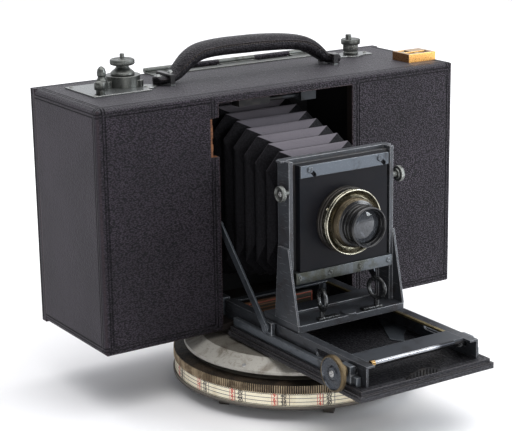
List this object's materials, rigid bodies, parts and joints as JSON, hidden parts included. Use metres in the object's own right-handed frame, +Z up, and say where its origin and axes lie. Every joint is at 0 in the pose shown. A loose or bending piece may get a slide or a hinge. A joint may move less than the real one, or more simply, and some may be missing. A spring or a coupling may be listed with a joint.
{
  "type": "panoramic camera",
  "caption": "Folding panoramic camera on a geared turntable, with a leather case, bellows, drop bed, rising lens and spring film drive.",
  "frame": {"origin": "mouth of the tripod bush, on the turning axis and level with the feet of the lugs", "axes": "+Z up along the turning axis, the lens looks toward -Y, +X to the right of a person facing the lens"},
  "size_m": [0.409, 0.3538, 0.3265],
  "materials": {
    "casting": "worn cast metal",
    "bronze": "dull bronze",
    "scale": "printed cream scale",
    "steel": "turned steel",
    "worn_nickel": "worn nickel",
    "mahogany": "raw mahogany",
    "case_leather": "pebbled black leather, worn brown at the edges",
    "black_board": "matt black",
    "bellows_leather": "matt dark leather",
    "bed_leather": "black leather with tooled border lines",
    "dark_metal": "dark oxidised metal, bright on worn edges",
    "handle_leather": "stitched leather",
    "brass": "aged brass",
    "vial_glass": "clear",
    "lens_wood": "black varnished wood",
    "lens_metal": "black lacquer, bright on edges",
    "glass": "polished"
  },
  "bodies": {
    "turntable": {"turntable_base": "casting", "gear_ring": "bronze", "scale_band": "scale", "spindle": "steel"},
    "camera": {"turntable_disc": "worn_nickel", "bottom_board": "mahogany", "top_board": "mahogany", "left_board": "mahogany", "right_board": "mahogany", "front_boards": "mahogany", "leather_cover": "case_leather", "chamber_walls": "black_board", "slit_board": "black_board", "bellows_frame": "black_board", "bellows": "bellows_leather", "bed_board": "bed_leather", "bed_hinge": "dark_metal", "guide_rails": "dark_metal", "bed_struts": "dark_metal", "bed_catch": "dark_metal", "handle": "handle_leather", "top_plates": "worn_nickel", "supply_collar": "worn_nickel", "level_frame": "brass", "level_vials": "vial_glass", "door_hinge": "worn_nickel", "side_catch": "dark_metal", "motor_plate": "brass"},
    "film_drive": {"drive_shaft": "steel", "drive_pinion": "bronze", "film_drum": "black_board", "drum_wheel": "brass"},
    "barrel": {"spring_barrel": "brass"},
    "governor": {"governor": "steel"},
    "take_up": {"take_up_spool": "mahogany"},
    "supply": {"supply_spool": "mahogany", "supply_knob": "worn_nickel"},
    "winder": {"winding_key": "worn_nickel"},
    "punch": {"punch_button": "worn_nickel"},
    "brake": {"brake_screw": "worn_nickel"},
    "door": {"back_door": "case_leather"},
    "starter": {"side_button": "worn_nickel"},
    "track": {"track_rails": "dark_metal", "track_bars": "dark_metal", "track_racks": "bronze"},
    "focus": {"focus_shaft": "brass", "focus_knob": "brass"},
    "standard": {"standard_base": "dark_metal", "standard_frame": "dark_metal"},
    "carrier": {"lens_carrier": "dark_metal", "lens_board": "lens_wood", "board_strip": "dark_metal", "lens_barrel": "lens_metal", "lens_glass": "glass"},
    "latch": {"board_latch": "dark_metal"},
    "iris": {"iris_ring": "brass"},
    "rise_left": {"rise_knob_left": "dark_metal"},
    "rise_right": {"rise_knob_right": "dark_metal"},
    "clamp_left": {"clamp_ring_left": "dark_metal"},
    "clamp_right": {"clamp_ring_right": "dark_metal"}
  },
  "joints": [
    {"name": "camera_turn", "type": "hinge", "parent": "turntable", "child": "camera", "pos_m": [0, 0, 0.041], "axis": [0, 0, 1], "continuous": true},
    {"name": "drive_turn", "type": "hinge", "parent": "camera", "child": "film_drive", "pos_m": [0.11548, 0.06667, 0.027], "axis": [0, 0, 1], "continuous": true},
    {"name": "barrel_turn", "type": "hinge", "parent": "camera", "child": "barrel", "pos_m": [0.14444, 0.10804, 0.279], "axis": [0, 0, 1], "continuous": true},
    {"name": "governor_turn", "type": "hinge", "parent": "camera", "child": "governor", "pos_m": [0.17844, 0.10804, 0.279], "axis": [0, 0, 1], "continuous": true},
    {"name": "take_up_turn", "type": "hinge", "parent": "camera", "child": "take_up", "pos_m": [0.175, 0.054, 0.064], "axis": [0, 0, 1], "continuous": true},
    {"name": "supply_turn", "type": "hinge", "parent": "camera", "child": "supply", "pos_m": [-0.13, 0.096, 0.064], "axis": [0, 0, 1], "continuous": true},
    {"name": "key_turn", "type": "hinge", "parent": "camera", "child": "winder", "pos_m": [0.14444, 0.10804, 0.288], "axis": [0, 0, 1], "continuous": true},
    {"name": "brake_turn", "type": "hinge", "parent": "camera", "child": "brake", "pos_m": [-0.157, 0.087, 0.288], "axis": [0, 0, 1], "continuous": true},
    {"name": "punch_press", "type": "slide", "parent": "camera", "child": "punch", "axis": [0, 0, -1], "range_m": [0, 0.004], "stiffness_N_per_m": 600},
    {"name": "start_press", "type": "slide", "parent": "camera", "child": "starter", "axis": [-1, 0, 0], "range_m": [0, 0.003], "stiffness_N_per_m": 600},
    {"name": "door_swing", "type": "hinge", "parent": "camera", "child": "door", "pos_m": [0, 0.147, 0.2908], "axis": [1, 0, 0], "range_deg": [0, 100]},
    {"name": "focus_rack", "type": "slide", "parent": "camera", "child": "track", "axis": [0, -1, 0], "range_m": [-0.005, 0.05], "deforming": ["bellows"]},
    {"name": "focus_turn", "type": "hinge", "parent": "camera", "child": "focus", "pos_m": [0, -0.175, 0.074], "axis": [1, 0, 0], "range_deg": [-64, 637]},
    {"name": "standard_run", "type": "slide", "parent": "track", "child": "standard", "axis": [0, -1, 0], "range_m": [-0.126, 0.085], "deforming": ["bellows"]},
    {"name": "lens_rise", "type": "slide", "parent": "standard", "child": "carrier", "axis": [0, 0, 1], "range_m": [0, 0.015]},
    {"name": "latch_slide", "type": "slide", "parent": "carrier", "child": "latch", "axis": [-0.7071, 0, 0.7071], "range_m": [0, 0.0068]},
    {"name": "iris_turn", "type": "hinge", "parent": "carrier", "child": "iris", "pos_m": [0, -0.079, 0.177], "axis": [0, -1, 0], "range_deg": [-60, 60]},
    {"name": "rise_left_turn", "type": "hinge", "parent": "standard", "child": "rise_left", "pos_m": [-0.06, -0.074, 0.209], "axis": [1, 0, 0], "continuous": true},
    {"name": "rise_right_turn", "type": "hinge", "parent": "standard", "child": "rise_right", "pos_m": [0.06, -0.074, 0.209], "axis": [1, 0, 0], "continuous": true},
    {"name": "clamp_left_squeeze", "type": "slide", "parent": "standard", "child": "clamp_left", "axis": [1, 0, 0], "range_m": [0, 0.004], "stiffness_N_per_m": 800},
    {"name": "clamp_right_squeeze", "type": "slide", "parent": "standard", "child": "clamp_right", "axis": [-1, 0, 0], "range_m": [0, 0.004], "stiffness_N_per_m": 800}
  ],
  "couplings": [
    {"joint": "drive_turn", "follows": "camera_turn", "ratio": 9},
    {"joint": "barrel_turn", "follows": "camera_turn", "ratio": -7.8333},
    {"joint": "governor_turn", "follows": "camera_turn", "ratio": 30.214},
    {"joint": "take_up_turn", "follows": "camera_turn", "ratio": 12},
    {"joint": "supply_turn", "follows": "camera_turn", "ratio": 12},
    {"joint": "focus_turn", "follows": "focus_rack", "rad_per_m": 222.22}
  ]
}
